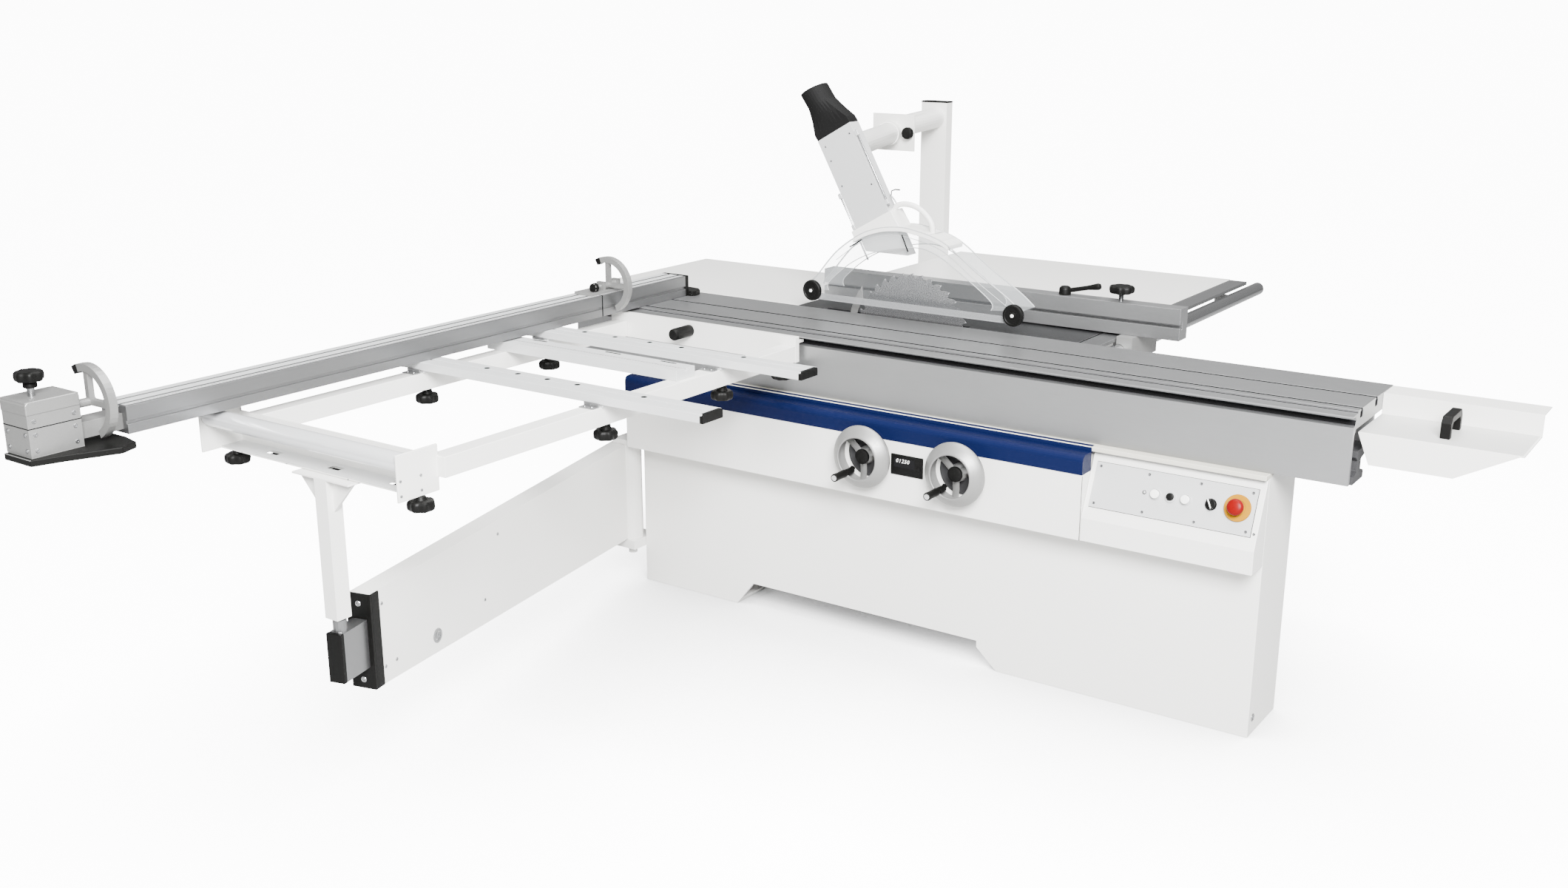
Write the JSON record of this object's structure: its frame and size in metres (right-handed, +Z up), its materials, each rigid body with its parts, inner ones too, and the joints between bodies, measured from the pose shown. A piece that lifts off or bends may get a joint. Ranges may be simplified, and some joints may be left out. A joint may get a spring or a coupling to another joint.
{
  "type": "panel saw",
  "caption": "Sliding-table panel saw with a crosscut frame and fence, swing arm, rip fence, overhead guard with extraction duct, tilting blade, handwheels and a control panel.",
  "frame": {"origin": "under the middle of the bounding box, at floor level", "axes": "+Z up; +X along the sliding carriage towards the operator's end with the control panel; +Y across the machine towards the rip side, so the crosscut frame is at -Y"},
  "size_m": [3.044, 3.745, 1.6203],
  "materials": {
    "white_paint": "satin",
    "blue_paint": "satin",
    "satin_aluminium": "satin",
    "ground_iron": "ground",
    "steel": "satin",
    "black_plastic": "matte",
    "black_rubber": "matte",
    "grey_plate": "satin",
    "red_plastic": "gloss",
    "yellow_plastic": "matte",
    "button_white": "gloss",
    "clear_polycarbonate": "clear",
    "cast_aluminium": "cast"
  },
  "bodies": {
    "machine": {"base_frame": "white_paint", "front_fascia": "white_paint", "blue_band": "blue_paint", "control_box": "white_paint", "control_plate": "grey_plate", "stop_collar": "yellow_plastic", "slideway": "ground_iron", "cabinet": "white_paint", "main_table": "ground_iron", "left_table": "white_paint", "rear_table": "white_paint", "table_frame": "white_paint", "scale_rail": "satin_aluminium", "guide_bar": "steel", "arm_column": "steel", "guard_post": "white_paint"},
    "carriage_body": {"carriage": "satin_aluminium", "end_tray": "white_paint", "tray_handle": "black_plastic", "inner_rail": "white_paint", "crosscut_frame": "white_paint", "near_table_bar": "satin_aluminium", "scale_bar": "satin_aluminium", "far_table_bar": "satin_aluminium", "support_leg": "white_paint"},
    "rip_unit": {"rip_fence": "satin_aluminium", "rip_body": "cast_aluminium"},
    "guard_arm_body": {"guard_arm": "white_paint", "guard_duct": "grey_plate", "hose_adapter": "black_rubber"},
    "guard_hood": {"clear_guard": "clear_polycarbonate", "guard_crown": "white_paint"},
    "bar_knob_near_body": {"bar_knob_near": "black_plastic"},
    "bar_knob_far_body": {"bar_knob_far": "black_plastic"},
    "outer_roller_body": {"outer_roller": "steel"},
    "crosscut_fence_body": {"crosscut_fence": "satin_aluminium"},
    "fence_extension_body": {"fence_extension": "satin_aluminium"},
    "fence_end_knob_body": {"fence_end_knob": "black_plastic"},
    "outer_flip_stop_body": {"outer_flip_stop": "satin_aluminium"},
    "stop_carrier_body": {"stop_carrier": "cast_aluminium"},
    "inner_flip_stop_body": {"inner_flip_stop": "satin_aluminium"},
    "swing_arm_body": {"swing_arm": "white_paint"},
    "arm_slide_body": {"arm_slide": "satin_aluminium"},
    "tilt_frame_body": {"tilt_frame": "cast_aluminium"},
    "rise_carrier_body": {"rise_carrier": "cast_aluminium"},
    "saw_blade_body": {"saw_blade": "steel"},
    "rise_handwheel_body": {"rise_handwheel": "cast_aluminium"},
    "rise_grip_body": {"rise_grip": "black_plastic"},
    "tilt_handwheel_body": {"tilt_handwheel": "cast_aluminium"},
    "tilt_grip_body": {"tilt_grip": "black_plastic"},
    "start_button_body": {"start_button": "button_white"},
    "stop_button_body": {"stop_button": "black_plastic"},
    "second_start_button_body": {"second_start_button": "button_white"},
    "selector_switch_body": {"selector_switch": "black_plastic"},
    "emergency_stop_body": {"emergency_stop": "red_plastic"},
    "rip_lever_body": {"rip_lever": "black_plastic"},
    "rip_knob_body": {"rip_knob": "black_plastic"},
    "guard_wheel_left_body": {"guard_wheel_left": "black_plastic"},
    "guard_wheel_right_body": {"guard_wheel_right": "black_plastic"},
    "guard_clamp_knob_body": {"guard_clamp_knob": "black_plastic"}
  },
  "joints": [
    {"name": "carriage_travel", "type": "slide", "parent": "machine", "child": "carriage_body", "axis": [-1, 0, 0], "range_m": [-1, 1.2]},
    {"name": "fence_swivel", "type": "hinge", "parent": "carriage_body", "child": "crosscut_fence_body", "pos_m": [-1.162, 0.3725, 0.95], "axis": [0, 0, 1], "range_deg": [-25, 25]},
    {"name": "extension_travel", "type": "slide", "parent": "crosscut_fence_body", "child": "fence_extension_body", "axis": [0, -1, 0], "range_m": [0, 0.4]},
    {"name": "end_knob_turn", "type": "hinge", "parent": "fence_extension_body", "child": "fence_end_knob_body", "pos_m": [-1.162, -1.8175, 1.0403], "axis": [0, 0, 1], "range_deg": [0, 540]},
    {"name": "outer_stop_flip", "type": "hinge", "parent": "fence_extension_body", "child": "outer_flip_stop_body", "pos_m": [-1.142, -1.6925, 1.005], "axis": [0, -1, 0], "range_deg": [0, 60]},
    {"name": "stop_travel", "type": "slide", "parent": "crosscut_fence_body", "child": "stop_carrier_body", "axis": [0, -1, 0], "range_m": [0, 1.5]},
    {"name": "inner_stop_flip", "type": "hinge", "parent": "stop_carrier_body", "child": "inner_flip_stop_body", "pos_m": [-1.142, 0.0825, 1.005], "axis": [0, -1, 0], "range_deg": [0, 60]},
    {"name": "roller_spin", "type": "hinge", "parent": "carriage_body", "child": "outer_roller_body", "pos_m": [-1.194, -1.3575, 0.886], "axis": [1, 0, 0], "continuous": true},
    {"name": "bar_knob_near_turn", "type": "hinge", "parent": "carriage_body", "child": "bar_knob_near_body", "pos_m": [-0.492, -0.1935, 0.8327], "axis": [0, 0, 1], "range_deg": [0, 540]},
    {"name": "bar_knob_far_turn", "type": "hinge", "parent": "carriage_body", "child": "bar_knob_far_body", "pos_m": [-0.492, -0.6895, 0.8327], "axis": [0, 0, 1], "range_deg": [0, 540]},
    {"name": "arm_swing", "type": "hinge", "parent": "machine", "child": "swing_arm_body", "pos_m": [-1.132, 0.1525, 0.3], "axis": [0, 0, 1], "range_deg": [-43, 36]},
    {"name": "arm_telescope", "type": "slide", "parent": "swing_arm_body", "child": "arm_slide_body", "axis": [0.2436, -0.9699, 0], "range_m": [0, 0.48]},
    {"name": "blade_tilt", "type": "hinge", "parent": "machine", "child": "tilt_frame_body", "pos_m": [-0.3, 0.5305, 0.916], "axis": [-1, 0, 0], "range_deg": [0, 45]},
    {"name": "blade_rise", "type": "slide", "parent": "tilt_frame_body", "child": "rise_carrier_body", "axis": [0, 0, 1], "range_m": [-0.145, 0]},
    {"name": "blade_spin", "type": "hinge", "parent": "rise_carrier_body", "child": "saw_blade_body", "pos_m": [-0.3, 0.5305, 0.86], "axis": [0, 1, 0], "continuous": true},
    {"name": "rise_wheel_turn", "type": "hinge", "parent": "machine", "child": "rise_handwheel_body", "pos_m": [-0.179, 0.0892, 0.611], "axis": [0, -1, 0], "range_deg": [-8710, 10]},
    {"name": "rise_grip_spin", "type": "hinge", "parent": "rise_handwheel_body", "child": "rise_grip_body", "pos_m": [-0.21511, 0.0209, 0.56308], "axis": [0, -1, 0], "continuous": true},
    {"name": "tilt_wheel_turn", "type": "hinge", "parent": "machine", "child": "tilt_handwheel_body", "pos_m": [0.123, 0.0892, 0.611], "axis": [0, -1, 0], "range_deg": [-10, 5410]},
    {"name": "tilt_grip_spin", "type": "hinge", "parent": "tilt_handwheel_body", "child": "tilt_grip_body", "pos_m": [0.08689, 0.0209, 0.56308], "axis": [0, -1, 0], "continuous": true},
    {"name": "start_button_press", "type": "slide", "parent": "machine", "child": "start_button_body", "axis": [0, 0.9269, -0.3754], "range_m": [0, 0.003], "stiffness_N_per_m": 600, "springref_m": -0.001},
    {"name": "stop_button_press", "type": "slide", "parent": "machine", "child": "stop_button_body", "axis": [0, 0.9269, -0.3754], "range_m": [0, 0.003], "stiffness_N_per_m": 600, "springref_m": -0.001},
    {"name": "second_start_button_press", "type": "slide", "parent": "machine", "child": "second_start_button_body", "axis": [0, 0.9269, -0.3754], "range_m": [0, 0.003], "stiffness_N_per_m": 600, "springref_m": -0.001},
    {"name": "selector_turn", "type": "hinge", "parent": "machine", "child": "selector_switch_body", "pos_m": [0.824, 0.12602, 0.63635], "axis": [0, -0.9269, 0.3754], "range_deg": [-60, 60]},
    {"name": "emergency_stop_press", "type": "slide", "parent": "machine", "child": "emergency_stop_body", "axis": [0, 0.9269, -0.3754], "range_m": [0, 0.005], "stiffness_N_per_m": 800, "springref_m": -0.001},
    {"name": "rip_travel", "type": "slide", "parent": "machine", "child": "rip_unit", "axis": [0, 1, 0], "range_m": [-0.05, 0.95]},
    {"name": "rip_lever_turn", "type": "hinge", "parent": "rip_unit", "child": "rip_lever_body", "pos_m": [0.128, 0.7035, 1.0143], "axis": [0, 0, 1], "range_deg": [0, 75]},
    {"name": "rip_knob_turn", "type": "hinge", "parent": "rip_unit", "child": "rip_knob_body", "pos_m": [0.308, 0.7035, 1.0143], "axis": [0, 0, 1], "range_deg": [0, 540]},
    {"name": "guard_arm_travel", "type": "slide", "parent": "machine", "child": "guard_arm_body", "axis": [0.3752, -0.9266, 0.0265], "range_m": [0, 0.05]},
    {"name": "guard_lift", "type": "slide", "parent": "guard_arm_body", "child": "guard_hood", "axis": [-0.4848, 0, 0.8746], "range_m": [0, 0.08]},
    {"name": "guard_wheel_left_spin", "type": "hinge", "parent": "guard_hood", "child": "guard_wheel_left_body", "pos_m": [-0.634, 0.4842, 0.981], "axis": [0, -1, 0], "continuous": true},
    {"name": "guard_wheel_right_spin", "type": "hinge", "parent": "guard_hood", "child": "guard_wheel_right_body", "pos_m": [0.073, 0.4842, 0.981], "axis": [0, -1, 0], "continuous": true},
    {"name": "guard_knob_turn", "type": "hinge", "parent": "machine", "child": "guard_clamp_knob_body", "pos_m": [-0.805, 1.3582, 1.4], "axis": [0, -1, 0], "range_deg": [0, 540]}
  ],
  "couplings": [
    {"joint": "arm_swing", "follows": "carriage_travel", "rad_per_m": -0.61},
    {"joint": "rise_wheel_turn", "follows": "blade_rise", "rad_per_m": 1047.2},
    {"joint": "tilt_wheel_turn", "follows": "blade_tilt", "ratio": 120}
  ]
}
